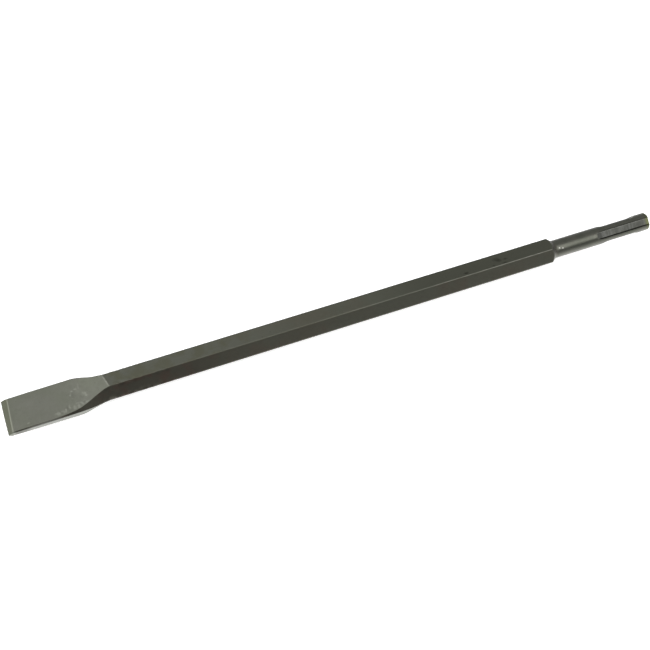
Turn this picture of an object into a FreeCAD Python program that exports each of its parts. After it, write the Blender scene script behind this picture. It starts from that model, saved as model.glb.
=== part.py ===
import FreeCAD, Part
import math
import os

# Flat chisel with a slotted 10 mm rotary-hammer shank. It is one bar of tool steel, written as
# the five regions that it is worked into, which meet face to face across the bar.
# +X runs from the cutting edge to the struck end, +Y across the blade, +Z up. The origin is
# under the middle of the bar, which lies on one flat of its hexagon.

# The bar
overall_length = 362.0
hex_across_flats = 13.5
hex_edge_radius = 0.6
axis_height = hex_across_flats / 2

# The ground edge
edge_node_length = 3.8
bevel_length = 2.85
bevel_half_thickness = 1.64
edge_land_half = 0.06

# The forged blade at stations from the cutting edge: distance, half thickness, half width of
# the broad face, half width over the sides, half height of the trimmed side
tongue_start = (0.0, 1.71, 9.72, 10.10, 1.10)
edge_node_end = (3.8, 1.76, 9.74, 10.12, 1.10)
blade_stations = [
    edge_node_end,
    (14.3, 1.95, 9.79, 10.19, 1.05),
    (24.8, 2.07, 9.77, 10.21, 1.12),
    (31.6, 2.52, 9.48, 10.23, 1.31),
    (38.4, 3.32, 8.34, 10.10, 1.38),
    (44.2, 4.60, 6.15, 9.13, 0.57),
    (49.0, 5.85, 4.65, 8.14, 0.31),
    (52.3, 6.75, 3.90, 7.72, 0.31),
]
blade_end = 57.0

# The turned rear, in distances from the struck end
shank_diameter = 10.0
shoulder_start = 62.0
shoulder_angle = 40.0
shoulder_fillet = 3.5
drive_length = 40.0
slotted_length = 33.0
struck_end_diameter = 9.9       # the slotted length tapers a little towards the struck end
end_chamfer = 0.6

# The open drive grooves and the closed locking grooves, in the drive shank
groove_tilt = 54.0              # first drive groove above horizontal, on the -Y side
drive_floor_radius = 3.55
drive_floor_half_width = 1.78
drive_wall_slope = 25.0
drive_groove_full = 28.3
drive_cutter_radius = 8.0
lock_floor_radius = 3.75
lock_ball_radius = 6.5
lock_groove_rear = 11.0
lock_groove_front = 25.4

X_AXIS = FreeCAD.Vector(1, 0, 0)
Y_AXIS = FreeCAD.Vector(0, 1, 0)
AXIS_POINT = FreeCAD.Vector(0, 0, axis_height)
shank_radius = shank_diameter / 2


def from_edge(distance):
    """X of a place that lies this far behind the cutting edge."""
    return distance - overall_length / 2


def from_end(distance):
    """X of a place that lies this far ahead of the struck end."""
    return overall_length / 2 - distance


def closed_wire(points):
    return Part.makePolygon(points + [points[0]])


def hex_prism(x_start, x_end):
    """The bar stock, flats up and down, with its six long edges rounded."""
    corner_radius = hex_across_flats / math.sqrt(3)
    corners = []
    for step in range(6):
        angle = math.radians(60 * step)
        y = corner_radius * math.cos(angle)
        z = axis_height + corner_radius * math.sin(angle)
        corners.append(FreeCAD.Vector(x_start, y, z))
    prism = Part.Face(closed_wire(corners)).extrude(X_AXIS * (x_end - x_start))
    long_edges = [edge for edge in prism.Edges if edge.BoundBox.XLength > 1]
    return prism.makeFillet(hex_edge_radius, long_edges)


def section_corners(station):
    """Corners of one eight-sided section, in order round the bar: the broad faces are up and
    down, the trimmed sides are left and right, and a slanted facet joins each to the next."""
    distance, half_thick, face_half, side_half, side_half_height = station
    quarter = [(side_half, side_half_height), (face_half, half_thick)]
    upper = quarter + [(-y, z) for y, z in reversed(quarter)]
    around = upper + [(-y, -z) for y, z in upper]
    x = from_edge(distance)
    return [FreeCAD.Vector(x, y, axis_height + z) for y, z in around]


def make_cutting_edge():
    """The tip of the blade between the two ground bevels."""
    sections = [closed_wire(section_corners(s)) for s in (tongue_start, edge_node_end)]
    tongue = Part.makeLoft(sections, True, True)
    bevel_slope = (bevel_half_thickness - edge_land_half) / bevel_length
    rise_at_end = edge_land_half + bevel_slope * edge_node_length
    half_profile = [(0.0, edge_land_half), (edge_node_length, rise_at_end)]
    outline = half_profile + [(x, -z) for x, z in reversed(half_profile)]
    width = 2 * tongue_start[3] + 2
    points = [FreeCAD.Vector(from_edge(x), -width / 2, axis_height + z) for x, z in outline]
    wedge = Part.Face(closed_wire(points)).extrude(Y_AXIS * width)
    return tongue.common(wedge)


def make_forging():
    """The forged length: a smooth line along each corner, and a face between each two lines."""
    sections = [section_corners(station) for station in blade_stations]
    distances = [station[0] for station in blade_stations]
    lines = []
    for corner_points in zip(*sections):
        line = Part.BSplineCurve()
        line.interpolate(Points=list(corner_points), Parameters=distances)
        lines.append(line.toShape())
    faces = [Part.Face(closed_wire(sections[0])), Part.Face(closed_wire(sections[-1]))]
    for line, next_line in zip(lines, lines[1:] + lines[:1]):
        faces.append(Part.makeRuledSurface(line, next_line))
    shell = Part.makeShell(faces)
    shell.sewShape()
    return Part.Solid(shell)


def make_blade():
    """The forged blade, its shoulder, and the first few millimetres of whole bar."""
    last_distance = blade_stations[-1][0]
    return make_forging().fuse(hex_prism(from_edge(last_distance), from_edge(blade_end)))


def turned_profile():
    """Half section of the turned rear shoulder: a cone, a hollow fillet, then the neck."""
    half_angle = math.radians(shoulder_angle) / 2
    corner_radius = hex_across_flats / math.sqrt(3)
    cone_drop = corner_radius - shank_radius
    cone_foot = shoulder_start - cone_drop / math.tan(math.radians(shoulder_angle))
    tangent = shoulder_fillet * math.tan(half_angle)
    neck_start = cone_foot - tangent
    cone_end = cone_foot + tangent * math.cos(2 * half_angle)
    cone_end_radius = shank_radius + tangent * math.sin(2 * half_angle)
    middle_x = neck_start + shoulder_fillet * math.sin(half_angle)
    middle_radius = shank_radius + shoulder_fillet * (1 - math.cos(half_angle))
    return {
        "neck_start": neck_start,
        "corner": (shoulder_start, corner_radius),
        "cone_end": (cone_end, cone_end_radius),
        "fillet_middle": (middle_x, middle_radius),
        "fillet_end": (neck_start, shank_radius),
    }


def make_hex_shaft(turned):
    """The hexagonal bar, with its rear end turned down to the neck."""
    x_start = from_edge(blade_end)
    x_end = from_end(turned["neck_start"])
    points = {}
    for name in ("corner", "cone_end", "fillet_middle", "fillet_end"):
        distance, radius = turned[name]
        points[name] = FreeCAD.Vector(from_end(distance), 0, axis_height + radius)
    corner_radius = turned["corner"][1]
    front_axis = FreeCAD.Vector(x_start, 0, axis_height)
    front_rim = FreeCAD.Vector(x_start, 0, axis_height + corner_radius)
    rear_axis = FreeCAD.Vector(x_end, 0, axis_height)
    outline = Part.Wire([
        Part.makeLine(front_axis, front_rim),
        Part.makeLine(front_rim, points["corner"]),
        Part.makeLine(points["corner"], points["cone_end"]),
        Part.Arc(points["cone_end"], points["fillet_middle"], points["fillet_end"]).toShape(),
        Part.makeLine(points["fillet_end"], rear_axis),
        Part.makeLine(rear_axis, front_axis),
    ])
    envelope = Part.Face(outline).revolve(AXIS_POINT, X_AXIS, 360)
    return hex_prism(x_start, x_end).common(envelope)


def make_neck(neck_start):
    start = FreeCAD.Vector(from_end(neck_start), 0, axis_height)
    return Part.makeCylinder(shank_radius, neck_start - drive_length, start, X_AXIS)


def drive_groove_cutter():
    """An open groove pointing up from the axis: sloped walls, flat floor, round run-out."""
    top = drive_cutter_radius
    spread = math.tan(math.radians(drive_wall_slope)) * top
    half_profile = [(drive_floor_half_width, 0.0), (drive_floor_half_width + spread, top)]
    outline = half_profile + [(-y, z) for y, z in reversed(half_profile)]
    x_full = from_end(drive_groove_full)
    floor = axis_height + drive_floor_radius
    points = [FreeCAD.Vector(x_full, y, floor + z) for y, z in outline]
    profile = Part.Face(closed_wire(points))
    straight = profile.extrude(X_AXIS * (drive_groove_full + 1))
    cutter_axis = FreeCAD.Vector(x_full, 0, floor + drive_cutter_radius)
    run_out = profile.revolve(cutter_axis, Y_AXIS, 60)
    return straight.fuse(run_out)


def lock_groove_cutter():
    """A closed groove with a round bottom and two ball ends, pointing up from the axis."""
    ball_height = axis_height + lock_floor_radius + lock_ball_radius
    front_centre = FreeCAD.Vector(from_end(lock_groove_front), 0, ball_height)
    rear_centre = FreeCAD.Vector(from_end(lock_groove_rear), 0, ball_height)
    balls = [Part.makeSphere(lock_ball_radius, centre) for centre in (front_centre, rear_centre)]
    length = lock_groove_front - lock_groove_rear
    straight = Part.makeCylinder(lock_ball_radius, length, front_centre, X_AXIS)
    return straight.fuse(balls)


def shank_blank():
    """The drive shank before milling: plain round, then the slight taper, then a chamfer."""
    end_radius = struck_end_diameter / 2
    profile = [
        (drive_length, 0.0),
        (drive_length, shank_radius),
        (slotted_length, shank_radius),
        (end_chamfer, end_radius),
        (0.0, end_radius - end_chamfer),
        (0.0, 0.0),
    ]
    points = [FreeCAD.Vector(from_end(x), 0, axis_height + r) for x, r in profile]
    return Part.Face(closed_wire(points)).revolve(AXIS_POINT, X_AXIS, 360)


def make_drive_shank():
    """The 40 mm that enters the tool holder, with two drive and two locking grooves."""
    shank = shank_blank()
    first_angle = 90.0 - groove_tilt
    cutters = [drive_groove_cutter(), lock_groove_cutter()]
    for step in range(4):
        cutter = cutters[step % 2].copy()
        cutter.rotate(AXIS_POINT, X_AXIS, first_angle + 90.0 * step)
        shank = shank.cut(cutter)
    return shank


def main():
    os.makedirs("parts", exist_ok=True)
    turned = turned_profile()
    nodes = {
        "cutting_edge": make_cutting_edge(),
        "blade": make_blade(),
        "hex_shaft": make_hex_shaft(turned),
        "neck": make_neck(turned["neck_start"]),
        "drive_shank": make_drive_shank(),
    }
    for name, shape in nodes.items():
        box = shape.BoundBox
        print(f"{name}: valid {shape.isValid()}, {len(shape.Solids)} solid, "
              f"{shape.Volume:.0f} mm3, x {box.XMin:.2f} to {box.XMax:.2f}, "
              f"y {box.YMin:.2f} to {box.YMax:.2f}, z {box.ZMin:.2f} to {box.ZMax:.2f}")
        shape.exportStep(f"parts/{name}.step")


main()
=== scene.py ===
"""Looks of the flat chisel: the forged blade, the hexagonal bar, the turned neck and the slotted
shank, as five closed meshes that meet face to face where the CAD regions meet.

Lengths in this file are millimetres. Along the bar, x is the distance from the cutting edge;
across it, y and z are measured from the bar's axis. to_row() turns them into the row's metres.
"""
import math

import bpy
import numpy as np
from mathutils import Matrix, Vector, noise


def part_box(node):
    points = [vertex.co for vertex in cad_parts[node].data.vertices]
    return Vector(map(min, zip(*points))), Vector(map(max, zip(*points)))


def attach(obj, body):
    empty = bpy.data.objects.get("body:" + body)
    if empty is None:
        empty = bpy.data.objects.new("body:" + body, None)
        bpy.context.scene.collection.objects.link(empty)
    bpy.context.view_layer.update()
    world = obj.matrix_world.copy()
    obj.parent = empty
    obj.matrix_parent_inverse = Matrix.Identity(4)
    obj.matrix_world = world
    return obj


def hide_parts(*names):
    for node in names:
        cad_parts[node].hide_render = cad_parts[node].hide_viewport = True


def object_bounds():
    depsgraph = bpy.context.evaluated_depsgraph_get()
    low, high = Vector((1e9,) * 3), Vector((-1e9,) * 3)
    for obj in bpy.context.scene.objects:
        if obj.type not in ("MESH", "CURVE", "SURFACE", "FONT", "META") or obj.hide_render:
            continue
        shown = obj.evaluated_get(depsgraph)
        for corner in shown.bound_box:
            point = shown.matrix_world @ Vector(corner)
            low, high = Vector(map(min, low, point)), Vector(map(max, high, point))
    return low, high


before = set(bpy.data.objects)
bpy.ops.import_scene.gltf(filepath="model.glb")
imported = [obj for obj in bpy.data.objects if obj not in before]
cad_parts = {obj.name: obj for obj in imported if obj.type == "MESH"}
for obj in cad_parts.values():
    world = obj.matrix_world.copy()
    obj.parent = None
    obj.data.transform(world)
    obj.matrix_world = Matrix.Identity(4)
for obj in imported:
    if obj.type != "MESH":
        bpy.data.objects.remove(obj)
cad_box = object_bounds()

MM = 0.001


def box_mm(node):
    """Lowest and highest corner of a CAD node, in millimetres."""
    low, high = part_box(node)
    return np.array(low) / MM, np.array(high) / MM


# ---- driving dimensions, from the frame ----
bar_low, bar_high = box_mm("hex_shaft")
neck_low, neck_high = box_mm("neck")
tip_x = cad_box[0][0] / MM
length = (cad_box[1][0] - cad_box[0][0]) / MM
axis_z = (bar_low[2] + bar_high[2]) / 2
shank_radius = (neck_high[2] - neck_low[2]) / 2
edge_end = box_mm("cutting_edge")[1][0] - tip_x
blade_end = box_mm("blade")[1][0] - tip_x
neck_start = neck_low[0] - tip_x
neck_end = neck_high[0] - tip_x

# ---- the forged blade, as in the CAD: distance, half thickness, half width of the broad face,
#      half width over the sides, half height of the trimmed side ----
blade_stations = [
    (0.0, 1.71, 9.72, 10.10, 1.10),
    (3.8, 1.76, 9.74, 10.12, 1.10),
    (14.3, 1.95, 9.79, 10.19, 1.05),
    (24.8, 2.07, 9.77, 10.21, 1.12),
    (31.6, 2.52, 9.48, 10.23, 1.31),
    (38.4, 3.32, 8.34, 10.10, 1.38),
    (44.2, 4.60, 6.15, 9.13, 0.57),
    (49.0, 5.85, 4.65, 8.14, 0.31),
    (52.3, 6.75, 3.90, 7.72, 0.31),
]
end_slopes = (0.24, -0.14, -0.10, 0.0)      # of those four measures, where the bar begins
forge_end = blade_stations[-1][0]
blade_corner = 0.22             # radius of the section's corners on the blade
bar_corner = 0.60               # and on the bar
bevel_length = 2.85
bevel_half_thickness = 1.64
bevel_corner = 0.12             # how widely the line behind the bevel is rounded off
edge_land_half = 0.03

# ---- what the CAD blade doesn't have: it is uneven from side to side ----
edge_bow = 0.10                 # the edge's middle stands this far ahead of its corners
bevel_shift = 0.2               # the bevel is ground this much longer
early_draw = 0.29               # the +Y side is drawn in this far where the blade narrows
edge_skew = 0.008               # for each millimetre towards +Y, the edge is this much ahead,
bevel_skew = 0.04               # the line behind the bevel this much further back,
crease_skew = 0.26              # and the line where the forging meets the bar this much ahead

# ---- the turned and milled rear; grooves start and end at distances from the struck end ----
shoulder_length = 5.6           # from the neck to just past the turned part of the bar
shoulder_fillet = 3.5
shoulder_angle = math.radians(40)
slotted_length = 33.0
struck_end_radius = 4.95
end_chamfer = 0.6
rim_blend = 0.12                # how widely the struck end's rim is rounded off
groove_blend = 0.10             # and the rims of the grooves
groove_tilt = 54.0              # first drive groove above horizontal, on the -Y side
drive_floor_radius = 3.55
drive_floor_half_width = 1.78
drive_wall_slope = 25.0
drive_groove_full = 28.3
drive_cutter_radius = 8.0
lock_floor_radius = 3.75
lock_ball_radius = 6.5
lock_groove_rear = 11.0
lock_groove_front = 25.4

# ---- fineness of the meshes ----
FACE_STEPS, SLANT_STEPS, SIDE_STEPS, ARC_STEPS = 40, 14, 5, 4
NECK_STEPS = 144
SEARCH_STEPS = 22
SHARP_ANGLE = 35.0


def to_row(points):
    """Bar millimetres to row metres."""
    return (np.asarray(points, float) + (tip_x, 0.0, axis_z)) * MM


# ---- small numeric helpers ----
def ease(values, start, end):
    """0 before start, 1 after end, and smooth between."""
    t = np.clip((np.asarray(values, float) - start) / (end - start), 0, 1)
    return t * t * (3 - 2 * t)


def soft_min(a, b, blend):
    """The lesser of two values, rounded off where they are within blend of each other."""
    h = np.clip(0.5 + 0.5 * (b - a) / blend, 0, 1)
    return b * (1 - h) + a * h - blend * h * (1 - h)


def cubic_line(xs, ys, start_slope, end_slope):
    """The smooth cubic line through the points, with the given slopes at its ends."""
    xs, ys = np.asarray(xs, float), np.asarray(ys, float)
    steps = np.diff(xs)
    slopes = np.diff(ys) / steps
    count = len(xs)
    matrix, right = np.eye(count), np.zeros(count)
    right[0], right[-1] = start_slope, end_slope
    for i in range(1, count - 1):
        matrix[i, i - 1:i + 2] = (1 / steps[i - 1], 2 / steps[i - 1] + 2 / steps[i], 1 / steps[i])
        right[i] = 3 * (slopes[i - 1] / steps[i - 1] + slopes[i] / steps[i])
    tangents = np.linalg.solve(matrix, right)

    def at(x):
        x = np.clip(x, xs[0], xs[-1])
        i = np.clip(np.searchsorted(xs, x, side="right") - 1, 0, count - 2)
        t = (x - xs[i]) / steps[i]
        a = (2 * t**3 - 3 * t**2 + 1) * ys[i] + (t**3 - 2 * t**2 + t) * steps[i] * tangents[i]
        b = (3 * t**2 - 2 * t**3) * ys[i + 1] + (t**3 - t**2) * steps[i] * tangents[i + 1]
        return a + b

    return at


station_x, *station_values = zip(*blade_stations)
half_thickness, face_half, side_half, side_height = (
    cubic_line(station_x, values, (values[1] - values[0]) / (station_x[1] - station_x[0]), slope)
    for values, slope in zip(station_values, end_slopes))


# ---- sections across the blade and the bar ----
def crowded(count):
    """Shares of an edge from 0 to 1, closer together near its ends."""
    return 0.5 - 0.5 * np.cos(np.pi * np.arange(count + 1) / count)


def rounded_ring(corners, radius, steps):
    """Points round a polygon with rounded corners. steps are the pieces along each edge."""
    arcs = []
    count = len(corners)
    for i, corner in enumerate(corners):
        back = corners[i - 1] - corner
        ahead = corners[(i + 1) % count] - corner
        back_length, ahead_length = np.linalg.norm(back), np.linalg.norm(ahead)
        back, ahead = back / back_length, ahead / ahead_length
        half_angle = 0.5 * math.acos(np.clip(back @ ahead, -1, 1))
        reach = min(radius / math.tan(half_angle), 0.45 * back_length, 0.45 * ahead_length)
        arc_radius = reach * math.tan(half_angle)
        middle = (back + ahead) / np.linalg.norm(back + ahead)
        centre = corner + middle * arc_radius / math.sin(half_angle)
        start = corner + back * reach - centre
        end = corner + ahead * reach - centre
        turn = math.atan2(start[0] * end[1] - start[1] * end[0], start @ end)
        arc = []
        for share in np.linspace(0, 1, ARC_STEPS + 1):
            c, s = math.cos(turn * share), math.sin(turn * share)
            arc.append(centre + (c * start[0] - s * start[1], s * start[0] + c * start[1]))
        arcs.append(arc)
    ring = []
    for i, arc in enumerate(arcs):
        ring.extend(arc[:-1])
        start, end = arc[-1], arcs[(i + 1) % count][0]
        ring.extend(start + (end - start) * share for share in crowded(steps[i])[:-1])
    return np.array(ring)


def bar_ring(x):
    """The eight-sided section at x. From the end of the forging on it is the hexagon."""
    thick, face = half_thickness(x), face_half(x)
    side, side_up = side_half(x), side_height(x)
    quarter = [(side, side_up), (face, thick)]
    upper = quarter + [(-y, z) for y, z in reversed(quarter)]
    corners = [np.array(p) for p in upper + [(-y, -z) for y, z in upper]]
    radius = blade_corner + (bar_corner - blade_corner) * float(ease(x, 25, 51.5))
    steps = [SLANT_STEPS, FACE_STEPS, SLANT_STEPS, SIDE_STEPS] * 2
    ring = rounded_ring(corners, radius, steps)
    # start half way up the +Y side, so that point j mirrors point -1 - j
    return np.roll(ring, (SIDE_STEPS - 1) // 2, axis=0)


def bar_rows(stations):
    """A (rows, points, 3) grid of sections."""
    rows = []
    for x in stations:
        ring = bar_ring(x)
        rows.append(np.column_stack([np.full(len(ring), x), ring]))
    return np.array(rows)


# ---- wear, forging marks and painted highlights ----
# place on the upper face (x, y), half length along x and y, turn in degrees, and depth,
# which is negative on a bump
face_dents = [
    (36.2, 0.3, 2.5, 2.1, 20, 0.22),
    (40.0, -3.0, 2.1, 1.2, -15, 0.18),
    (36.7, -6.3, 3.4, 1.5, -8, -0.20),
    (31.5, -6.3, 1.0, 1.5, 0, 0.18),
    (26.9, -7.7, 2.5, 1.2, -8, -0.11),
    (40.3, -5.9, 1.1, 0.8, -10, 0.11),
    (19.1, -5.6, 1.9, 0.5, 0, 0.05),
    (15.6, -8.2, 0.7, 0.5, 40, 0.06),
    (11.0, -7.6, 0.6, 0.5, 0, 0.05),
    (21.3, -3.6, 0.5, 0.4, 0, 0.05),
]

# the lower face has the same dents on its other half, moved along it and turned
under_shift = 2.5
under_turn = 30

# light patches on the upper face, painted highlights where its dents catch the light, with some
# rubbing: points along each, half width, strength
face_highlight_and_wear_strokes = [
    ([(38.7, 4.8), (38.4, 2.6)], 0.29, 0.35),
    ([(37.3, 2.8), (34.5, 1.9), (33.6, -0.2)], 0.30, 0.60),
    ([(34.5, -2.1), (36.4, -3.0)], 0.38, 0.45),
    ([(39.6, -0.9), (41.7, -2.3), (41.2, -3.4)], 0.67, 0.35),
    ([(32.6, -6.1), (35.2, -6.3), (38.7, -6.6), (41.0, -6.0)], 1.05, 0.45),
    ([(34.3, -7.9), (37.7, -8.0)], 0.67, 0.35),
    ([(30.1, -6.1), (29.7, -8.2)], 0.43, 0.50),
    ([(25.3, -7.6), (28.4, -7.8)], 1.14, 0.40),
    ([(10.5, -7.7), (11.2, -7.5)], 0.29, 0.50),
    ([(15.4, -8.8), (16.1, -8.6)], 0.27, 0.50),
    ([(4.6, -0.5), (5.3, -0.3)], 0.24, 0.40),
]

# small dark pits on the bar's upper flat, in the same terms as the dents
bar_pits = [
    (249.5, -2.2, 1.8, 0.8, 0, 0.08),
    (265.4, -2.8, 1.0, 0.6, 0, 0.06),
    (268.2, 0.6, 2.6, 1.7, 0, 0.04),
    (269.6, -0.6, 1.9, 1.4, 0, 0.05),
    (273.3, -0.7, 1.5, 0.8, 0, 0.06),
    (272.2, -3.0, 1.6, 0.6, 0, 0.07),
]
darkest_pit = 0.10              # depth at which a pit is as dark as it gets

# painted glints on the neck, bright spots: distance behind its start, angle round the axis in
# degrees,
# half length, half width
neck_glints = [
    (1.0, 124.0, 0.40, 0.36),
    (3.0, 130.5, 0.40, 0.45),
]

# unevenness of a surface: width of its bumps, their height, and the noise's seed
forged_waves = [(7.0, 0.07, 1), (3.0, 0.02, 2)]
rolled_waves = [(11.0, 0.012, 3), (3.0, 0.003, 4)]
ridge_chips = [(1.9, 0.32, 7), (4.0, 0.14, 8)]
rolled_drop = 0.015             # keeps the rolled waves inside the bar's true size
chip_drop = 0.03                # lowers the chips, of which only the inward parts are made


def dent_depth(x, y, dents):
    """How deep the dents are at a place on a face: each is a soft-edged oval."""
    depth = np.zeros_like(x)
    for cx, cy, half_x, half_y, turn, amount in dents:
        c, s = math.cos(math.radians(turn)), math.sin(math.radians(turn))
        u = ((x - cx) * c + (y - cy) * s) / half_x
        v = ((y - cy) * c - (x - cx) * s) / half_y
        depth += amount * (1 - ease(np.sqrt(u * u + v * v), 0.35, 1.0))
    return depth


def stroke_mask(x, y, strokes):
    """1 on rubbed strokes, with soft edges."""
    mask = np.zeros_like(x)
    for points, half_width, strength in strokes:
        nearest = np.full_like(x, np.inf)
        for (x0, y0), (x1, y1) in zip(points, points[1:]):
            along_x, along_y = x1 - x0, y1 - y0
            t = ((x - x0) * along_x + (y - y0) * along_y) / (along_x**2 + along_y**2)
            t = np.clip(t, 0, 1)
            nearest = np.minimum(nearest, np.hypot(x - x0 - t * along_x, y - y0 - t * along_y))
        mask = np.maximum(mask, strength * (1 - ease(nearest, 0.3 * half_width, 1.5 * half_width)))
    return mask


def noise_field(points, size, seed):
    """Smooth noise, -1 to 1, at each point; size is a bump's width in millimetres."""
    offset = Vector((seed * 17.3, seed * 5.1, seed * 9.7))
    flat = points.reshape(-1, 3) / size
    values = [noise.noise(Vector(p) + offset) for p in flat]
    return np.array(values).reshape(points.shape[:-1])


def waves(points, table):
    """Height of the uneven surface that a table of waves describes."""
    return sum(height * noise_field(points, size, seed) for size, height, seed in table)


def grid_normals(grid):
    """Outward unit normals of a grid of sections, whose rings close on themselves."""
    along = np.gradient(grid, axis=0)
    around = np.roll(grid, -1, axis=1) - np.roll(grid, 1, axis=1)
    normals = np.cross(around, along)
    lengths = np.linalg.norm(normals, axis=2, keepdims=True)
    return normals / np.maximum(lengths, 1e-9)


def away_from_seams(x):
    """0 at each seam between pieces, 1 further off, so that neighbours meet exactly."""
    share = np.ones_like(x)
    for seam in (edge_end, blade_end, neck_start, neck_end):
        share *= ease(np.abs(x - seam), 0.15, 1.2)
    return share


def forging_marks(grid):
    """Moves the surface of the blade and bar by what forging, rolling and handling left."""
    x, y, z = grid[..., 0], grid[..., 1], grid[..., 2]
    normals = grid_normals(grid)
    on_top = ease(normals[..., 2], 0.75, 0.95)
    under = ease(-normals[..., 2], 0.75, 0.95)
    forged = ease(x, 23, 34) * (1 - ease(x, 50.5, 53.5))
    height = forged * waves(grid, forged_waves) + waves(grid, rolled_waves) - rolled_drop
    ridges = ease(np.hypot(y, z), 7.0, 7.6) * ease(x, 46, 52) * (1 - ease(x, 60, 100))
    height += ridges * np.minimum(waves(grid, ridge_chips) - chip_drop, 0)
    height -= on_top * dent_depth(x, y, face_dents + bar_pits)
    under_dents = [
        (cx + under_shift, -cy, half_x, half_y, under_turn - turn, depth)
        for cx, cy, half_x, half_y, turn, depth in face_dents
    ]
    height -= under * dent_depth(x, y, under_dents)
    return grid + normals * (height * away_from_seams(x))[..., None]


def skew_forging(grid):
    """What keeps the forging from being quite even: on the upper face, the line where it meets
    the bar is turned, and the +Y side draws in a little sooner."""
    x, y, z = grid[..., 0], grid[..., 1], grid[..., 2]
    share = ease(x, 36, 47.5) * (1 - ease(x, 54.2, 56.2))
    upper = np.clip(z / half_thickness(x), 0, 1)
    here, there = half_thickness(x), half_thickness(x + crease_skew * y * share)
    drawn_in = early_draw * ease(x, 34, 41) * (1 - ease(x, 46.5, 53.5))
    moved = grid.copy()
    moved[..., 1] *= 1 - drawn_in / side_half(x) * (y > 0)
    moved[..., 2] += (there - here) * upper
    return moved


# ---- meshes ----
def quads_between_rings(rows, count):
    """Faces of the skin between each ring and the next."""
    faces = []
    for row in range(rows - 1):
        start = row * count
        for i in range(count):
            j = (i + 1) % count
            faces.append((start + i, start + j, start + count + j, start + count + i))
    return faces


def strip_cap(count, first, outward_ahead):
    """Closes a ring with quads between its upper and its lower half."""
    faces = []
    for i in range(count // 2 - 1):
        j = count - 1 - i
        quad = (first + i, first + i + 1, first + j - 1, first + j)
        faces.append(quad if outward_ahead else quad[::-1])
    return faces


def grid_piece(name, grid, masks, material):
    """One closed mesh from a grid of sections, replacing the CAD node of the same name."""
    rows, count = grid.shape[:2]
    faces = quads_between_rings(rows, count)
    faces += strip_cap(count, 0, False)
    faces += strip_cap(count, (rows - 1) * count, True)
    mesh = bpy.data.meshes.new(name)
    mesh.from_pydata(to_row(grid.reshape(-1, 3)).tolist(), [], faces)
    mesh.polygons.foreach_set("use_smooth", [True] * len(faces))
    mesh.set_sharp_from_angle(angle=math.radians(SHARP_ANGLE))
    for mask, values in masks.items():
        attribute = mesh.attributes.new(mask, "FLOAT", "POINT")
        attribute.data.foreach_set("value", np.ravel(values).astype(np.float32))
    mesh.materials.append(material)
    piece = bpy.data.objects.new(name + "_surface", mesh)
    bpy.context.scene.collection.objects.link(piece)
    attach(piece, "root")
    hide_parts(name)


# ---- masks on the blade and the bar ----
def flat_mask(grid):
    """1 on the faces above and below, 0 on the slanted ones and the sides."""
    return ease(np.abs(grid_normals(grid)[..., 2]), 0.80, 0.93)


def top_mask(grid):
    """1 on the upper face only."""
    return ease(grid_normals(grid)[..., 2], 0.80, 0.93)


def crease_line(y):
    """x of the line where the forged slope meets the bar, on the upper face."""
    return forge_end - crease_skew * y


def worked_mask(grid):
    """1 where the dies left lighter metal: the blade's broad faces, up to the crease."""
    crease_x = crease_line(grid[..., 1])
    return flat_mask(grid) * (1 - ease(grid[..., 0], crease_x - 0.2, crease_x + 0.3))


def sheared_mask(grid):
    """1 on the bright sides of the blade, where the forging's flash was sheared off."""
    bright = 0.45 + 0.55 * ease(grid[..., 0], 6, 13)
    side = ease(np.abs(grid_normals(grid)[..., 1]), 0.88, 0.96)
    return side * bright * (1 - ease(grid[..., 0], 43.5, 50.5))


def facet_shade_and_scale_mask(grid):
    """1 on the slanted facets, most near the blade: painted shade, tinted with the brown scale
    that heat from the forging left.
    """
    return (1 - flat_mask(grid)) * (1 - 0.6 * ease(grid[..., 0], 67, 143))


def lit_flats_mask(grid):
    """1 where the bar's flats above and below are paler, next to the forging: painted light."""
    return flat_mask(grid) * (1 - ease(grid[..., 0], 105, 175))


def shaded_flats_mask(grid):
    """1 where the flats above and below are darker, towards the shank: painted shade."""
    return flat_mask(grid) * ease(grid[..., 0], 185, 235)


def pit_mask(grid):
    """1 in the deepest of the pits on the bar's upper flat, where dirt and scale stay."""
    depth = dent_depth(grid[..., 0], grid[..., 1], bar_pits)
    return top_mask(grid) * np.clip(depth / darkest_pit, 0, 1)


def ridge_wear_and_highlight_mask(grid):
    """Wear and a painted highlight on the bar's six long edges, which grow towards the shank."""
    normals = grid_normals(grid)
    angle = np.degrees(np.arctan2(normals[..., 2], normals[..., 1]))
    off_flat = np.abs((angle % 60) - 30)
    wear = ease(grid[..., 0] + 40 * noise_field(grid, 30.0, 6), 165, 285)
    broken = 0.75 + 0.5 * noise_field(grid, 3.0, 9)
    return ease(off_flat, 8, 24) * wear * broken


def crease_wear_and_highlight_mask(grid):
    """The line where the forged slope meets the bar: a painted highlight with some wear, fainter
    here and there.
    """
    distance = np.abs(grid[..., 0] - crease_line(grid[..., 1]))
    level = ease(np.abs(grid_normals(grid)[..., 2]), 0.9, 0.97)
    broken = 0.35 + 0.55 * ease(noise_field(grid, 1.6, 12), -0.3, 0.4)
    return broken * level * (1 - ease(distance, 0.1, 0.6))


def face_wear_and_highlight_mask(grid):
    """The light patches on the blade's upper face, painted highlights on its dents with some
    rubbing, broken up by its roughness.
    """
    broken = ease(noise_field(grid, 1.3, 5), -0.35, 0.25)
    strokes = stroke_mask(grid[..., 0], grid[..., 1], face_highlight_and_wear_strokes)
    return 0.9 * top_mask(grid) * broken * strokes


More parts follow.
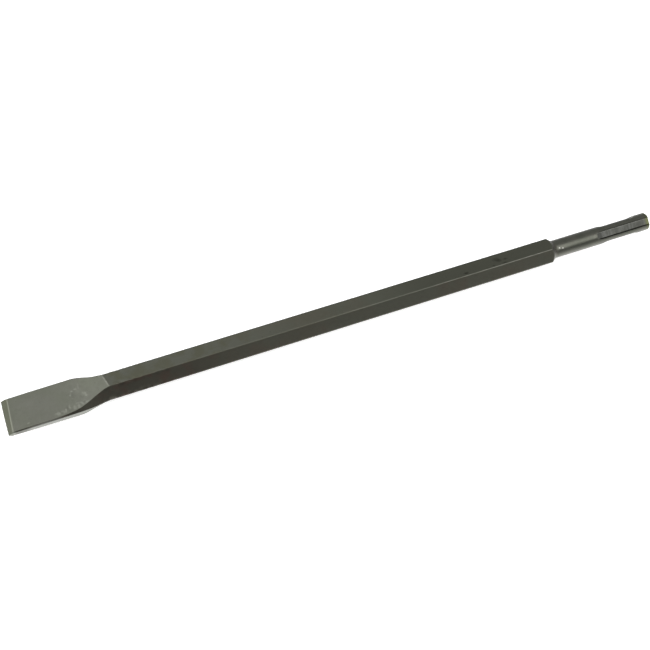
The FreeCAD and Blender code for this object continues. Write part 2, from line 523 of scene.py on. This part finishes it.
# ---- the five pieces: each list of stations is closest where the shape changes most ----
def make_cutting_edge(material):
    """The tip between its two ground bevels, as a grid that follows the edge and its bow."""
    stations = np.concatenate([
        np.linspace(0, 0.6, 4),
        np.linspace(0.8, 2.3, 8),
        np.linspace(2.45, 3.15, 12),
        np.linspace(3.3, edge_end, 5),
    ])
    rows = bar_rows(stations)
    # s is the place along the tip before its edge is bowed and its lines are skewed
    s, y, z = rows[..., 0], rows[..., 1], rows[..., 2]
    limit = edge_land_half + (bevel_half_thickness - edge_land_half) * s / bevel_length
    height = soft_min(np.abs(z), limit, np.minimum(bevel_corner, limit * 0.5))
    edge_line = edge_bow * (y / side_half(0)) ** 2 + edge_skew * (side_half(0) - y)
    bevel_line = bevel_length + bevel_shift + bevel_skew * y
    on_bevel = np.clip(s / bevel_length, 0, 1)
    beyond = np.clip((s - bevel_length) / (edge_end - bevel_length), 0, 1)
    x = edge_line + (bevel_line - edge_line) * on_bevel + (edge_end - bevel_line) * beyond
    grid = np.stack([x, y, np.sign(z) * height], axis=2)
    masks = {
        "sheared": sheared_mask(grid),
        "ground": 1 - ease(s, bevel_length - 0.1, bevel_length + 0.15),
        # painted highlight with some wear along the line behind the bevel
        "wear_and_highlight": 0.85 * (1 - ease(np.abs(s - bevel_length - 0.15), 0.15, 0.6)),
    }
    grid_piece("cutting_edge", grid, masks, material)


def make_blade(material):
    """The forged blade and the first few millimetres of whole bar."""
    stations = np.concatenate([
        np.linspace(edge_end, edge_end + 0.4, 3),
        np.linspace(edge_end + 0.7, 47.5, 115),
        np.linspace(47.8, 54.8, 48),
        np.linspace(55.1, blade_end, 6),
    ])
    grid = forging_marks(skew_forging(bar_rows(stations)))
    masks = {
        "worked": worked_mask(grid),
        "sheared": sheared_mask(grid),
        # painted highlights with some wear: the crease line and the light patches on the face
        "wear_and_highlight": np.maximum(crease_wear_and_highlight_mask(grid), face_wear_and_highlight_mask(grid)),
        # painted shade with brown scale on the slanted facets
        "scaled": facet_shade_and_scale_mask(grid),
        # painted light on the flats near the forging
        "pale": lit_flats_mask(grid),
    }
    grid_piece("blade", grid, masks, material)


def shoulder_limit(x):
    """Radius of the turned rear shoulder at x: a cone, then a hollow fillet."""
    tangent = shoulder_fillet * math.tan(shoulder_angle / 2)
    cone_end_x = neck_start - tangent - tangent * math.cos(shoulder_angle)
    cone_end_radius = shank_radius + tangent * math.sin(shoulder_angle)
    to_neck = np.clip(neck_start - x, 0, None)
    hollow = shank_radius + shoulder_fillet - np.sqrt(
        np.clip(shoulder_fillet**2 - np.minimum(to_neck, shoulder_fillet) ** 2, 0, None))
    cone = cone_end_radius + (cone_end_x - x) * math.tan(shoulder_angle)
    return np.where(x < cone_end_x, cone, hollow)


def make_hex_shaft(material):
    """The bar, with its rear end turned down to the neck."""
    turned_from = neck_start - shoulder_length
    stations = np.concatenate([
        np.linspace(blade_end, blade_end + 1, 3),
        np.linspace(blade_end + 1.5, 100, 90),
        np.linspace(101, turned_from - 0.5, 205),
        np.linspace(turned_from, neck_start - 0.15, 50),
        [neck_start - 0.05, neck_start],
    ])
    grid = forging_marks(bar_rows(stations))
    x, radius = grid[..., 0], np.hypot(grid[..., 1], grid[..., 2])
    limit = shoulder_limit(x)
    # the cone's rims are rounded off, but not where it runs out into the neck
    blend = np.minimum(0.15, 0.05 + 0.4 * np.abs(limit - shank_radius))
    turned = np.where(x < turned_from, radius, soft_min(radius, limit, blend))
    turned = np.where(x > neck_start - 0.1, shank_radius, turned)
    grid[..., 1:] *= (turned / radius)[..., None]
    on_cone = ease(radius - limit, -0.05, 0.1)
    upper = ease(grid_normals(grid)[..., 2], 0.30, 0.60)
    masks = {
        "turned": on_cone,
        # painted shade on the cone's upper side, next to the neck
        "cone_painted_shade": on_cone * upper * (1 - ease(x, neck_start - 1.4, neck_start)),
        # painted shade with brown scale on the slanted facets
        "scaled": facet_shade_and_scale_mask(grid),
        # painted light on the flats near the forging
        "pale": lit_flats_mask(grid),
        # painted shade on the flats towards the shank
        "shade_to_shank": shaded_flats_mask(grid),
        "pitted": pit_mask(grid),
        # wear and a painted highlight along the long edges
        "wear_and_highlight": ridge_wear_and_highlight_mask(grid) * (1 - on_cone),
    }
    grid_piece("hex_shaft", grid, masks, material)


def polar_rows(stations, angles, radius_at):
    """A grid of round sections: radius_at(x, angle) is the surface's distance from the axis."""
    x, angle = np.meshgrid(stations, angles, indexing="ij")
    radius = radius_at(x, angle)
    return np.stack([x, radius * np.cos(angle), radius * np.sin(angle)], axis=2)


def make_neck(material):
    """The plain round neck; its painted glints are bright spots, with no depth."""
    angles = (np.arange(NECK_STEPS) + 0.5) * 2 * np.pi / NECK_STEPS
    stations = np.linspace(neck_start, neck_end, 71)
    grid = polar_rows(stations, angles, lambda x, angle: np.full_like(x, shank_radius))
    glints = np.zeros(grid.shape[:2])
    for from_start, angle, half_length, half_width in neck_glints:
        along = (grid[..., 0] - neck_start - from_start) / half_length
        turn = np.degrees(np.arctan2(grid[..., 2], grid[..., 1])) - angle
        around = np.radians(turn) * shank_radius / half_width
        glints = np.maximum(glints, 1 - ease(np.hypot(along, around), 0.4, 1.0))
    # painted glints near the neck's start
    masks = {"turned": np.ones(grid.shape[:2]), "wear_and_highlight": 0.7 * glints}
    grid_piece("neck", grid, masks, material)


# ---- the drive shank ----
def in_drive_cutter(from_end, across, up):
    """Is a place inside the cutter of a drive groove that opens upwards?"""
    past = np.clip(from_end - drive_groove_full, 0, None)
    reach = drive_cutter_radius**2 - past**2
    floor = drive_floor_radius + drive_cutter_radius - np.sqrt(np.clip(reach, 0, None))
    spread = math.tan(math.radians(drive_wall_slope))
    half_width = drive_floor_half_width + (up - floor) * spread
    return (up > floor) & (np.abs(across) < half_width)


def past_lock_groove(from_end):
    """How far a place is behind or ahead of a locking groove's straight length, or 0 in it."""
    return from_end - np.clip(from_end, lock_groove_rear, lock_groove_front)


def in_lock_cutter(from_end, across, up):
    """Is a place inside the ball-ended cutter of a locking groove that opens upwards?"""
    past = past_lock_groove(from_end)
    height = lock_floor_radius + lock_ball_radius
    return past**2 + across**2 + (up - height) ** 2 < lock_ball_radius**2


def shank_skin(from_end):
    """Radius of the drive shank before milling."""
    slope = (shank_radius - struck_end_radius) / (slotted_length - end_chamfer)
    taper = shank_radius - slope * np.clip(slotted_length - from_end, 0, None)
    chamfer = struck_end_radius - end_chamfer + from_end
    return soft_min(taper, chamfer, rim_blend)


def groove_angle(step):
    """Direction in which groove number step opens: two drive grooves and two for locking."""
    return math.radians(180 - groove_tilt + 90 * step)


def milled_radius(x, angle):
    """Distance from the axis to the surface of the milled drive shank. Where each cutter begins
    on the way out is found by halving the range between a radius that no cutter reaches and one
    outside the shank."""
    from_end = length - x
    radius = shank_skin(from_end)
    for step in range(4):
        inside = (in_drive_cutter, in_lock_cutter)[step % 2]
        turn = angle - groove_angle(step)
        own_side = np.cos(turn) > 0.6       # the rest of the shank is the other grooves' part
        low, high = np.full_like(x, 3.0), np.full_like(x, shank_radius + 1.5)
        for _ in range(SEARCH_STEPS):
            middle = (low + high) / 2
            hit = inside(from_end, middle * np.sin(turn), middle * np.cos(turn))
            high = np.where(hit, middle, high)
            low = np.where(hit, low, middle)
        radius = np.where(own_side, soft_min(radius, high, groove_blend), radius)
    return radius


def sector_angles():
    """Angles round the shank, close together where the walls of the grooves are."""
    half_sector = np.concatenate([
        np.linspace(0.5, 23.5, 13),
        np.linspace(24.5, 37.0, 26),
        np.linspace(38.5, 44.5, 4),
    ])
    sector = np.concatenate([-half_sector[::-1], half_sector])
    around = np.concatenate([math.degrees(groove_angle(step)) + sector for step in range(4)])
    return np.radians(np.sort(around % 360))


def seen_from_groove(grid, step):
    """Places across and above the axis, turned so that groove number step opens upwards."""
    radius = np.hypot(grid[..., 1], grid[..., 2])
    turn = np.arctan2(grid[..., 2], grid[..., 1]) - groove_angle(step)
    return radius * np.sin(turn), radius * np.cos(turn)


def flank_shade_and_light_mask(grid, depth, side):
    """1 on one flank of each drive groove: side is 1 for the flank painted dark as shade, -1 for
    the other, which is painted lighter.
    """
    mask = np.zeros_like(depth)
    for step in (0, 2):
        across, up = seen_from_groove(grid, step)
        near_flank = ease(side * across, drive_floor_half_width - 0.35, drive_floor_half_width)
        mask = np.maximum(mask, near_flank * (up > np.abs(across)))
    return mask * ease(depth, 0.05, 0.25)


def rim_glint_mask(grid, depth):
    """1 on the rear rims of the locking grooves, where a bright glint is painted."""
    from_end = length - grid[..., 0]
    past = past_lock_groove(from_end)
    mask = np.zeros_like(past)
    for step in (1, 3):
        across, up = seen_from_groove(grid, step)
        height = up - lock_floor_radius - lock_ball_radius
        clearance = np.sqrt(past**2 + across**2 + height**2) - lock_ball_radius
        mask = np.maximum(mask, 1 - ease(np.abs(clearance - 0.1), 0.12, 0.42))
    at_rear = 1 - ease(from_end, lock_groove_rear - 2.0, lock_groove_rear)
    return mask * at_rear * (1 - ease(depth, 0.05, 0.35))


def make_drive_shank(material):
    """The slotted shank, as a round grid whose radius follows the grooves."""
    stations = length - np.concatenate([
        np.linspace(length - neck_end, 33.4, 7),
        np.linspace(33.2, 24.8, 60),
        np.linspace(24.2, 11.5, 20),
        np.linspace(11.2, 6.9, 30),
        np.linspace(6.4, 1.1, 10),
        np.linspace(0.9, 0.0, 12),
    ])
    grid = polar_rows(stations, sector_angles(), milled_radius)
    from_end = length - grid[..., 0]
    depth = shank_skin(from_end) - np.hypot(grid[..., 1], grid[..., 2])
    masks = {
        "turned": 1 - ease(depth, 0.05, 0.15),
        # painted shade along one flank of each drive groove
        "flank_painted_shade": flank_shade_and_light_mask(grid, depth, 1),
        # painted glints on the locking grooves' rear rims, and painted light on the other flank of
        # each drive groove
        "wear_and_highlight": np.maximum(0.45 * rim_glint_mask(grid, depth), 0.15 * flank_shade_and_light_mask(grid, depth, -1)),
        "tarnished": (1 - ease(from_end, 0.6, 3.0)) * (0.3 + 0.7 * ease(from_end, 0.0, 0.2)),
    }
    grid_piece("drive_shank", grid, masks, material)


# ---- materials ----
class Nodes:
    """A short way to add shader nodes to a tree and join them."""

    def __init__(self, tree):
        self.tree = tree

    def add(self, kind, sockets=None, **settings):
        """A node with these settings, whose sockets are linked to or given these values."""
        node = self.tree.nodes.new(kind)
        for key, value in settings.items():
            setattr(node, key, value)
        for key, value in (sockets or {}).items():
            self.feed(node.inputs[key], value)
        return node

    def feed(self, socket, value):
        """Links a socket to another one, or gives it a plain value."""
        if isinstance(value, bpy.types.NodeSocket):
            self.tree.links.new(value, socket)
        else:
            socket.default_value = value

    def ramp(self, value, low, high, to_low=0.0, to_high=1.0, kind="SMOOTHSTEP"):
        """A value that goes from to_low to to_high as the given one goes from low to high."""
        limits = {"From Min": low, "From Max": high, "To Min": to_low, "To Max": to_high}
        node = self.add("ShaderNodeMapRange", {"Value": value, **limits}, interpolation_type=kind)
        return node.outputs["Result"]

    def math(self, operation, a, b):
        return self.add("ShaderNodeMath", {0: a, 1: b}, operation=operation).outputs["Value"]

    def mix(self, factor, a, b):
        """Number a where the factor is 0, b where it is 1."""
        return self.add("ShaderNodeMix", {"Factor": factor, "A": a, "B": b}).outputs["Result"]

    def seen(self):
        """1 on what the camera sees directly, 0 in reflections and in the light it gives."""
        return self.add("ShaderNodeLightPath").outputs["Is Camera Ray"]


class Skin(Nodes):
    """A material's nodes, around its Principled shader. Places are the object's own."""

    def __init__(self, name):
        self.material = bpy.data.materials.new(name)
        self.material.use_nodes = True
        super().__init__(self.material.node_tree)
        self.shader = self.tree.nodes["Principled BSDF"]
        self.place = self.add("ShaderNodeTexCoord").outputs["Object"]

    def stretched(self, scale):
        """Places scaled along each axis, so that noise is drawn out where the scale is small."""
        node = self.add("ShaderNodeMapping", {"Vector": self.place, "Scale": scale})
        return node.outputs["Vector"]

    def noise(self, size_mm, detail, place=None, seed=0.0):
        """Noise from 0 to 1, with bumps about size_mm wide."""
        sockets = {
            "Vector": place or self.place,
            "W": seed,
            "Scale": 1 / (size_mm * MM),
            "Detail": detail,
            "Roughness": 0.55,
        }
        return self.add("ShaderNodeTexNoise", sockets, noise_dimensions="4D").outputs["Fac"]

    def mask(self, name):
        """One of the masks that grid_piece keeps on the mesh."""
        return self.add("ShaderNodeAttribute", attribute_name=name).outputs["Fac"]

    def blend(self, factor, a, b):
        """Colour a where the factor is 0, b where it is 1. A colour is a socket or an RGB."""
        node = self.add("ShaderNodeMix", {"Factor": factor}, data_type="RGBA")
        colors = [socket for socket in node.inputs if socket.type == "RGBA"]
        for socket, color in zip(colors, (a, b)):
            self.feed(socket, color if isinstance(color, bpy.types.NodeSocket) else (*color, 1.0))
        return next(socket for socket in node.outputs if socket.type == "RGBA")

    def bump(self, height, strength, distance_mm, under=None):
        """Normals of a bumpy surface, laid over those of another bump if there is one."""
        sockets = {"Height": height, "Strength": strength, "Distance": distance_mm * MM}
        if under is not None:
            sockets["Normal"] = under
        return self.add("ShaderNodeBump", sockets).outputs["Normal"]

    def finish(self, color, roughness, normal):
        """Joins up the metal's shader and gives the finished material."""
        self.feed(self.shader.inputs["Base Color"], color)
        self.feed(self.shader.inputs["Roughness"], roughness)
        self.feed(self.shader.inputs["Normal"], normal)
        self.shader.inputs["Metallic"].default_value = 1.0
        return self.material


# colours of the steel, and of the painted light and shade on it, as linear RGB
STOCK_OLIVE, STOCK_BROWN = (0.078, 0.082, 0.065), (0.080, 0.077, 0.060)
STOCK_LIGHT = (0.092, 0.093, 0.076)
LIT_FLAT_GREY, LIT_FLAT_OLIVE = (0.092, 0.095, 0.078), (0.083, 0.084, 0.062)
FLAT_SHADE = (0.064, 0.066, 0.052)
FACET_SHADE, FACET_SHADE_RUSTY = (0.053, 0.051, 0.041), (0.058, 0.046, 0.037)
WORKED_TINTS = (0.130, 0.136, 0.110), (0.142, 0.145, 0.123)
WORKED_DARK = (0.112, 0.115, 0.095)
SHEARED, SHEARED_TIP = (0.205, 0.210, 0.192), (0.175, 0.179, 0.165)
FORGED_WEAR_AND_HIGHLIGHT = (0.28, 0.285, 0.25)
FORGED_PIT = (0.07, 0.068, 0.055)
GROUND_TINTS = (0.094, 0.100, 0.073), (0.102, 0.107, 0.080)
GROUND_LINE = (0.095, 0.098, 0.075)
GROUND_WEAR_AND_HIGHLIGHT = (0.20, 0.205, 0.17)
SHOULDER = (0.08, 0.08, 0.067)
CONE_SHADE = (0.042, 0.041, 0.034)
DIRT = (0.022, 0.023, 0.017)
BAR_PIT = (0.03, 0.029, 0.025)
BAR_WEAR_AND_HIGHLIGHT = (0.17, 0.17, 0.15)
TURNED_TINTS = (0.070, 0.073, 0.060), (0.082, 0.083, 0.070)
MILLED_TINTS = (0.041, 0.042, 0.037), (0.053, 0.054, 0.048)
MILLED_BAND = (0.066, 0.067, 0.062)
FLANK_SHADE = (0.012, 0.012, 0.010)
PAINTED_GLINT = (0.60, 0.60, 0.56)
TARNISH = (0.075, 0.081, 0.040)


def stock_color(n):
    """Skin of the drawn bar: olive grey with browner patches, with painted light and shade on the
    flats and painted shade tinted brown by scale on the slanted facets.
    """
    patch = n.ramp(n.noise(22, 4, seed=7.0), 0.38, 0.62)
    mottle = n.ramp(n.noise(2.2, 4, seed=8.0), 0.40, 0.65)
    color = n.blend(patch, STOCK_OLIVE, STOCK_BROWN)
    color = n.blend(n.math("MULTIPLY", mottle, 0.25), color, STOCK_LIGHT)
    olive = n.ramp(n.noise(6, 4, seed=16.0), 0.42, 0.62)
    # painted light: the flats lighter near the forging, with an olive mottle
    color = n.blend(n.mask("pale"), color, n.blend(olive, LIT_FLAT_GREY, LIT_FLAT_OLIVE))
    # painted shade: the flats darker towards the shank
    color = n.blend(n.mask("shade_to_shank"), color, FLAT_SHADE)
    # painted shade with brown scale on the slanted facets
    rust = n.ramp(n.noise(9, 4, seed=15.0), 0.50, 0.66)
    return n.blend(n.mask("scaled"), color, n.blend(rust, FACET_SHADE, FACET_SHADE_RUSTY))


def forged_skin():
    """Forged faces: pale and even where the dies worked them, stock skin elsewhere."""
    n = Skin("forged_steel")
    blotch = n.ramp(n.noise(14, 3), 0.35, 0.65)
    mottle = n.ramp(n.noise(1.6, 4, seed=3.0), 0.40, 0.62)
    light = n.blend(n.math("MULTIPLY", mottle, 0.15), n.blend(blotch, *WORKED_TINTS), WORKED_DARK)
    color = n.blend(n.mask("worked"), stock_color(n), light)
    color = n.blend(n.mask("sheared"), color, SHEARED)
    # painted highlights with some wear: the crease line and the light patches on the dents
    color = n.blend(n.mask("wear_and_highlight"), color, FORGED_WEAR_AND_HIGHLIGHT)
    pits = n.ramp(n.noise(0.7, 2, seed=9.0), 0.66, 0.72)
    color = n.blend(n.math("MULTIPLY", pits, 0.4), color, FORGED_PIT)
    roughness = n.ramp(n.noise(2.5, 3, seed=5.0), 0.3, 0.7, 0.42, 0.52)
    grain = n.bump(n.noise(0.28, 3, seed=1.0), 0.12, 0.05)
    normal = n.bump(n.noise(2.4, 3, seed=2.0), 0.15, 0.10, under=grain)
    return n.finish(color, roughness, normal)


def ground_skin():
    """Ground bevels: fine scratches square to the edge."""
    n = Skin("ground_steel")
    scratches = n.noise(0.16, 3, place=n.stretched((0.06, 1.0, 1.0)), seed=4.0)
    tint = n.ramp(n.noise(5, 3), 0.35, 0.65)
    color = n.blend(n.mask("ground"), n.blend(tint, *WORKED_TINTS), n.blend(tint, *GROUND_TINTS))
    lines = n.math("MULTIPLY", n.ramp(scratches, 0.35, 0.7), 0.25)
    color = n.blend(lines, color, GROUND_LINE)
    # painted highlight with some wear along the line behind the bevel
    color = n.blend(n.mask("wear_and_highlight"), color, GROUND_WEAR_AND_HIGHLIGHT)
    color = n.blend(n.mask("sheared"), color, SHEARED_TIP)
    roughness = n.ramp(scratches, 0.3, 0.7, 0.36, 0.50)
    return n.finish(color, roughness, n.bump(scratches, 0.35, 0.03))


def bar_skin():
    """Drawn bar: matt, faintly lined along its length, worn and with a painted highlight on its
    rear edges.
    """
    n = Skin("bar_steel")
    lines = n.noise(0.35, 3, place=n.stretched((0.02, 1.0, 1.0)), seed=6.0)
    color = n.blend(n.math("MULTIPLY", n.mask("turned"), 0.8), stock_color(n), SHOULDER)
    # painted shade on the cone's upper side, next to the neck
    color = n.blend(n.mask("cone_painted_shade"), color, CONE_SHADE)
    color = n.blend(n.mask("pitted"), color, DIRT)
    pits = n.ramp(n.noise(0.8, 2, seed=10.0), 0.67, 0.73)
    color = n.blend(n.math("MULTIPLY", pits, 0.6), color, BAR_PIT)
    # wear and a painted highlight along the long edges
    color = n.blend(n.mask("wear_and_highlight"), color, BAR_WEAR_AND_HIGHLIGHT)
    roughness = n.ramp(lines, 0.3, 0.7, 0.38, 0.50)
    grain = n.bump(n.noise(0.3, 3, seed=1.0), 0.15, 0.04)
    return n.finish(color, roughness, n.bump(lines, 0.20, 0.03, under=grain))


def turned_skin():
    """Turned and milled: fine rings round the shank, coarser cutter marks in the grooves."""
    n = Skin("turned_steel")
    rings = n.noise(0.22, 2, place=n.stretched((1.0, 0.03, 0.03)), seed=11.0)
    marks = n.noise(0.70, 3, place=n.stretched((1.0, 0.15, 0.15)), seed=12.0)
    turned = n.mask("turned")
    tint = n.ramp(n.noise(6, 3, seed=13.0), 0.36, 0.64)
    bands = n.ramp(n.noise(1.6, 2, place=n.stretched((1.0, 0.1, 0.1)), seed=14.0), 0.46, 0.60)
    milled = n.blend(n.math("MULTIPLY", bands, 0.8), n.blend(tint, *MILLED_TINTS), MILLED_BAND)
    color = n.blend(turned, milled, n.blend(tint, *TURNED_TINTS))
    # painted shade on one flank of each drive groove
    color = n.blend(n.mask("flank_painted_shade"), color, FLANK_SHADE)
    # painted glints on the neck and on the locking grooves' rear rims, and painted light on the
    # other flank of each drive groove
    color = n.blend(n.mask("wear_and_highlight"), color, PAINTED_GLINT)
    color = n.blend(n.mask("tarnished"), color, TARNISH)
    roughness = n.ramp(rings, 0.3, 0.7, 0.30, 0.42)
    return n.finish(color, roughness, n.bump(n.mix(turned, marks, rings), 0.40, 0.03))


# ---- floor, lights and camera ----
def make_floor():
    """A plain pale floor, like a light table: its glow in front of the bar and under it lights
    the blade's side and the round shank from below, and the camera sees it evenly pale."""
    half_size = 4.0
    corners = [(x, y, 0) for x, y in ((-1, -1), (1, -1), (1, 1), (-1, 1))]
    mesh = bpy.data.meshes.new("floor")
    mesh.from_pydata((np.array(corners) * half_size).tolist(), [], [(0, 1, 2, 3)])
    floor = bpy.data.objects.new("floor", mesh)
    bpy.context.scene.collection.objects.link(floor)
    n = Skin("pale_floor")
    across = n.add("ShaderNodeSeparateXYZ", {"Vector": n.place}).outputs["Y"]
    rise = n.ramp(across, -32 * MM, -16 * MM, 0.0, 1.3)
    fall = n.ramp(across, -2 * MM, 8 * MM, 1.0, 0.0)
    glow = n.math("MULTIPLY", rise, fall)
    n.feed(n.shader.inputs["Emission Strength"], n.mix(n.seen(), glow, 0.55))
    n.shader.inputs["Emission Color"].default_value = (1, 1, 1, 1)
    n.shader.inputs["Base Color"].default_value = (0.85, 0.85, 0.85, 1)
    n.shader.inputs["Roughness"].default_value = 0.9
    n.shader.inputs["Specular IOR Level"].default_value = 0.1
    mesh.materials.append(n.material)


def add_softbox(name, direction, distance, size, power):
    """A square area light that shines on the bar from a direction."""
    light = bpy.data.lights.new(name, "AREA")
    light.shape = "SQUARE"
    light.size = size
    light.energy = power
    lamp = bpy.data.objects.new(name, light)
    away = Vector(direction).normalized()
    lamp.location = away * distance
    lamp.rotation_euler = away.to_track_quat("Z", "Y").to_euler()
    bpy.context.scene.collection.objects.link(lamp)


def make_world():
    """A soft studio all round: bright above and behind the bar, dim in front of it. The dome
    fades towards the shank, where the front is less dim, and is bright again beyond the struck
    end. The camera sees it as plain white."""
    world = bpy.data.worlds.new("studio")
    world.use_nodes = True
    n = Nodes(world.node_tree)
    direction = n.add("ShaderNodeTexCoord").outputs["Generated"]
    axes = n.add("ShaderNodeSeparateXYZ", {"Vector": direction}).outputs
    fading = n.ramp(axes["X"], -0.50, 0.45, 1.72, 0.66, "LINEAR")
    past_end = n.ramp(axes["X"], 0.60, 0.85, 0.0, 1.2, "LINEAR")
    dome = n.math("ADD", fading, past_end)
    front = n.ramp(axes["X"], 0.0, 0.45, 0.0, 0.50, "LINEAR")
    backward = n.ramp(axes["Y"], -0.92, -0.40)
    background = n.tree.nodes["Background"]
    background.inputs["Color"].default_value = (1, 1, 1, 1)
    n.feed(background.inputs["Strength"], n.mix(n.seen(), n.mix(backward, front, dome), 1.0))
    bpy.context.scene.world = world


def make_camera():
    """The camera looks down at the bar from the -Y side, turned a little to the right."""
    azimuth, elevation, roll = math.radians(20.88), math.radians(57.12), math.radians(-0.55)
    aim = Vector((-12.5, -3.0, 6.75)) * MM
    distance = 548.1 * MM
    forward = Vector((
        math.sin(azimuth) * math.cos(elevation),
        math.cos(azimuth) * math.cos(elevation),
        -math.sin(elevation)))
    right = forward.cross(Vector((0, 0, 1))).normalized()
    up = right.cross(forward)
    axes = Matrix((right, up, -forward)).transposed()
    axes = axes @ Matrix.Rotation(-roll, 3, "Z")
    camera = bpy.data.cameras.new("camera")
    camera.sensor_width = 36.0
    camera.lens = 57.76
    camera.clip_start = 0.01
    holder = bpy.data.objects.new("camera", camera)
    holder.matrix_world = Matrix.Translation(aim - forward * distance) @ axes.to_4x4()
    bpy.context.scene.collection.objects.link(holder)
    bpy.context.scene.camera = holder


def main():
    make_cutting_edge(ground_skin())
    make_blade(forged_skin())
    make_hex_shaft(bar_skin())
    turned = turned_skin()
    make_neck(turned)
    make_drive_shank(turned)
    make_floor()
    make_world()
    add_softbox("key", direction=(0.37, -0.50, 0.78), distance=1.5, size=1.1, power=11)
    make_camera()
    bpy.context.scene.view_settings.view_transform = "Standard"


main()
